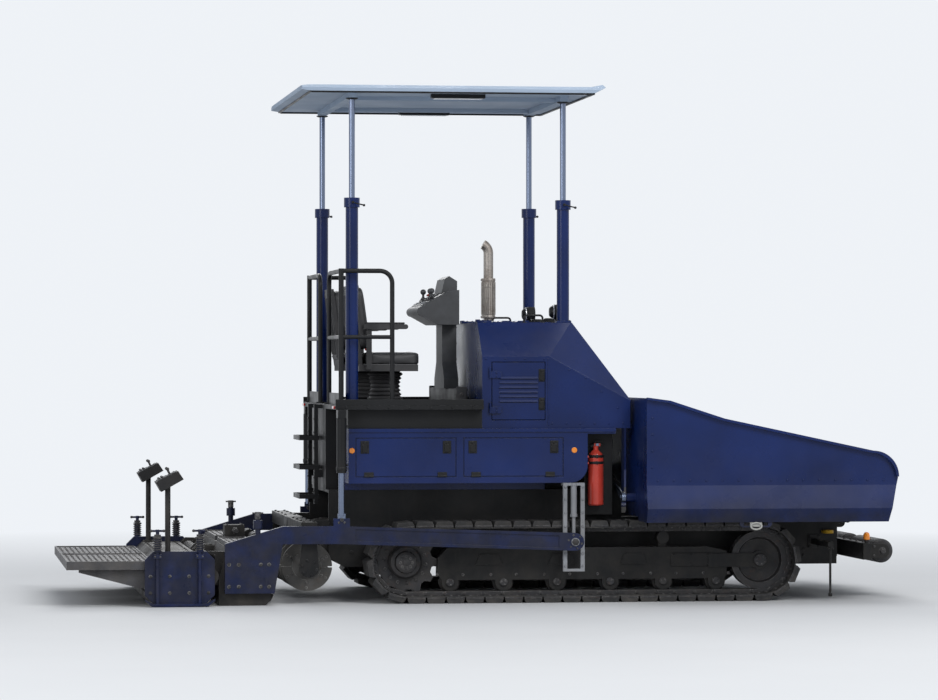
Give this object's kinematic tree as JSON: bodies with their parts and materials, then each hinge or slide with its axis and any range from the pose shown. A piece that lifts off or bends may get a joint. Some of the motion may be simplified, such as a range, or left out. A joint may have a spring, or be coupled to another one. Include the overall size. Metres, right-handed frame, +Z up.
{
  "type": "tracked asphalt paver",
  "caption": "Tracked road paver with a folding hopper, conveyors, augers, a telescoping roof and a towed extending screed.",
  "frame": {"origin": "on the ground, under the centre of the machine's outline", "axes": "+X forward towards the hopper and push rollers, +Y to the machine's left, +Z up"},
  "size_m": [6.2, 3.26, 3.81],
  "materials": {
    "frame_black": "satin black machine enamel with road dust",
    "navy_paint": "gloss navy-blue enamel",
    "conveyor_steel": "worn scraper steel with bitumen",
    "track_rubber": "black track pads, dusty",
    "cast_steel": "rough cast steel",
    "engine_iron": "painted cast iron",
    "grille_black": "matt black",
    "exhaust_steel": "heat-stained steel tube",
    "rail_paint": "black enamel",
    "seat_plastic": "black moulded plastic and steel",
    "seat_vinyl": "black vinyl",
    "guide_grey": "grey painted steel",
    "extinguisher_red": "faded red enamel",
    "lamp_lens": "clear lamp glass in a black shell",
    "lug_paint": "yellow enamel",
    "chrome_rod": "hard chrome",
    "roof_skin": "pale blue-grey moulded roof",
    "console_grey": "dark grey moulded plastic",
    "auger_steel": "worn hard-cast flights",
    "screed_black": "black enamel with bitumen spots",
    "walkway_steel": "tread plate, dark"
  },
  "bodies": {
    "tractor": {"chassis_frame": "frame_black", "hopper_rear_wall": "navy_paint", "conveyor": "conveyor_steel", "track_left": "track_rubber", "track_right": "track_rubber", "track_frames": "frame_black", "drive_sprockets": "cast_steel", "idler_wheels": "cast_steel", "engine_block": "engine_iron", "side_boxes": "navy_paint", "hood": "navy_paint", "radiator_grille": "grille_black", "exhaust_stack": "exhaust_steel", "platform_deck": "frame_black", "platform_rails": "rail_paint", "seat_frames": "seat_plastic", "seat_cushions": "seat_vinyl", "roof_posts": "navy_paint", "tow_point_guides": "guide_grey", "fire_extinguisher": "extinguisher_red", "work_lamps": "lamp_lens", "access_ladders": "rail_paint", "steering_guide": "rail_paint", "tie_down_lugs": "lug_paint", "auger_carrier": "frame_black", "lift_cylinders": "frame_black"},
    "hopper_wing_left": {"hopper_wing_left": "navy_paint"},
    "hopper_wing_right": {"hopper_wing_right": "navy_paint"},
    "wing_barrel_left": {"wing_barrel_left": "frame_black"},
    "wing_barrel_right": {"wing_barrel_right": "frame_black"},
    "wing_rod_left": {"wing_rod_left": "chrome_rod"},
    "wing_rod_right": {"wing_rod_right": "chrome_rod"},
    "hopper_flap": {"hopper_flap": "frame_black"},
    "push_beam": {"push_beam": "frame_black"},
    "push_roller_left": {"push_roller_left": "cast_steel"},
    "push_roller_right": {"push_roller_right": "cast_steel"},
    "roof": {"roof_canopy": "roof_skin", "roof_rods": "chrome_rod"},
    "hood_lid": {"hood_lid": "navy_paint"},
    "side_door_left": {"side_door_left": "navy_paint"},
    "side_door_right": {"side_door_right": "navy_paint"},
    "operator_console": {"operator_console": "console_grey"},
    "auger_left": {"auger_left": "auger_steel"},
    "auger_right": {"auger_right": "auger_steel"},
    "lift_rods": {"lift_rods": "chrome_rod"},
    "screed": {"tow_arms": "navy_paint", "main_screed": "screed_black", "main_walkway": "walkway_steel"},
    "screed_extension_left": {"extension_left": "screed_black", "end_gate_left": "navy_paint", "extension_walkway_left": "walkway_steel"},
    "screed_extension_right": {"extension_right": "screed_black", "end_gate_right": "navy_paint", "extension_walkway_right": "walkway_steel"}
  },
  "joints": [
    {"name": "wing_left_fold", "type": "hinge", "parent": "tractor", "child": "hopper_wing_left", "pos_m": [2, 0.732, 0.642], "axis": [1, 0, 0], "range_deg": [0, 45]},
    {"name": "wing_right_fold", "type": "hinge", "parent": "tractor", "child": "hopper_wing_right", "pos_m": [2, -0.732, 0.642], "axis": [-1, 0, 0], "range_deg": [0, 45]},
    {"name": "wing_barrel_left_swing", "type": "hinge", "parent": "tractor", "child": "wing_barrel_left", "pos_m": [0.99, 0.26, 0.96], "axis": [1, 0, 0], "range_deg": [0, 17.47]},
    {"name": "wing_barrel_right_swing", "type": "hinge", "parent": "tractor", "child": "wing_barrel_right", "pos_m": [0.99, -0.26, 0.96], "axis": [-1, 0, 0], "range_deg": [0, 17.47]},
    {"name": "wing_rod_left_slide", "type": "slide", "parent": "wing_barrel_left", "child": "wing_rod_left", "axis": [0, -0.977, 0.2134], "range_m": [0, 0.2274]},
    {"name": "wing_rod_right_slide", "type": "slide", "parent": "wing_barrel_right", "child": "wing_rod_right", "axis": [0, 0.977, 0.2134], "range_m": [0, 0.2274]},
    {"name": "flap_fold", "type": "hinge", "parent": "tractor", "child": "hopper_flap", "pos_m": [2.725, 0, 0.56], "axis": [0, -1, 0], "range_deg": [0, 50]},
    {"name": "push_beam_swing", "type": "hinge", "parent": "tractor", "child": "push_beam", "pos_m": [2.79, 0, 0.35], "axis": [0, 0, 1], "range_deg": [-8, 8]},
    {"name": "push_roller_left_spin", "type": "hinge", "parent": "push_beam", "child": "push_roller_left", "pos_m": [3.01, 0.495, 0.35], "axis": [0, 1, 0], "continuous": true},
    {"name": "push_roller_right_spin", "type": "hinge", "parent": "push_beam", "child": "push_roller_right", "pos_m": [3.01, -0.495, 0.35], "axis": [0, 1, 0], "continuous": true},
    {"name": "roof_lift", "type": "slide", "parent": "tractor", "child": "roof", "axis": [0, 0, 1], "range_m": [-0.68, 0]},
    {"name": "hood_lid_open", "type": "hinge", "parent": "tractor", "child": "hood_lid", "pos_m": [0.008, 0, 2.074], "axis": [0, -1, 0], "range_deg": [0, 55]},
    {"name": "side_door_left_open", "type": "hinge", "parent": "tractor", "child": "side_door_left", "pos_m": [-0.002, 1.134, 1.56], "axis": [0, 0, 1], "range_deg": [0, 100]},
    {"name": "side_door_right_open", "type": "hinge", "parent": "tractor", "child": "side_door_right", "pos_m": [-0.002, -1.134, 1.56], "axis": [0, 0, -1], "range_deg": [0, 100]},
    {"name": "console_shift", "type": "slide", "parent": "tractor", "child": "operator_console", "axis": [0, 1, 0], "range_m": [-0.45, 0.45]},
    {"name": "auger_left_spin", "type": "hinge", "parent": "tractor", "child": "auger_left", "pos_m": [-1.34, 0.645, 0.27], "axis": [0, 1, 0], "continuous": true},
    {"name": "auger_right_spin", "type": "hinge", "parent": "tractor", "child": "auger_right", "pos_m": [-1.34, -0.645, 0.27], "axis": [0, 1, 0], "continuous": true},
    {"name": "screed_lift", "type": "hinge", "parent": "tractor", "child": "screed", "pos_m": [0.61, 0, 0.45], "axis": [0, 1, 0], "range_deg": [0, 7]},
    {"name": "lift_rods_slide", "type": "slide", "parent": "tractor", "child": "lift_rods", "axis": [0, 0, 1], "range_m": [0, 0.2103]},
    {"name": "extension_left_slide", "type": "slide", "parent": "screed", "child": "screed_extension_left", "axis": [0, 1, 0], "range_m": [0, 1.15]},
    {"name": "extension_right_slide", "type": "slide", "parent": "screed", "child": "screed_extension_right", "axis": [0, -1, 0], "range_m": [0, 1.15]}
  ],
  "couplings": [
    {"joint": "wing_barrel_left_swing", "follows": "wing_left_fold", "ratio": 0.3771},
    {"joint": "wing_barrel_right_swing", "follows": "wing_right_fold", "ratio": 0.3771},
    {"joint": "wing_rod_left_slide", "follows": "wing_left_fold", "m_per_rad": 0.287},
    {"joint": "wing_rod_right_slide", "follows": "wing_right_fold", "m_per_rad": 0.287},
    {"joint": "lift_rods_slide", "follows": "screed_lift", "m_per_rad": 1.7054}
  ]
}
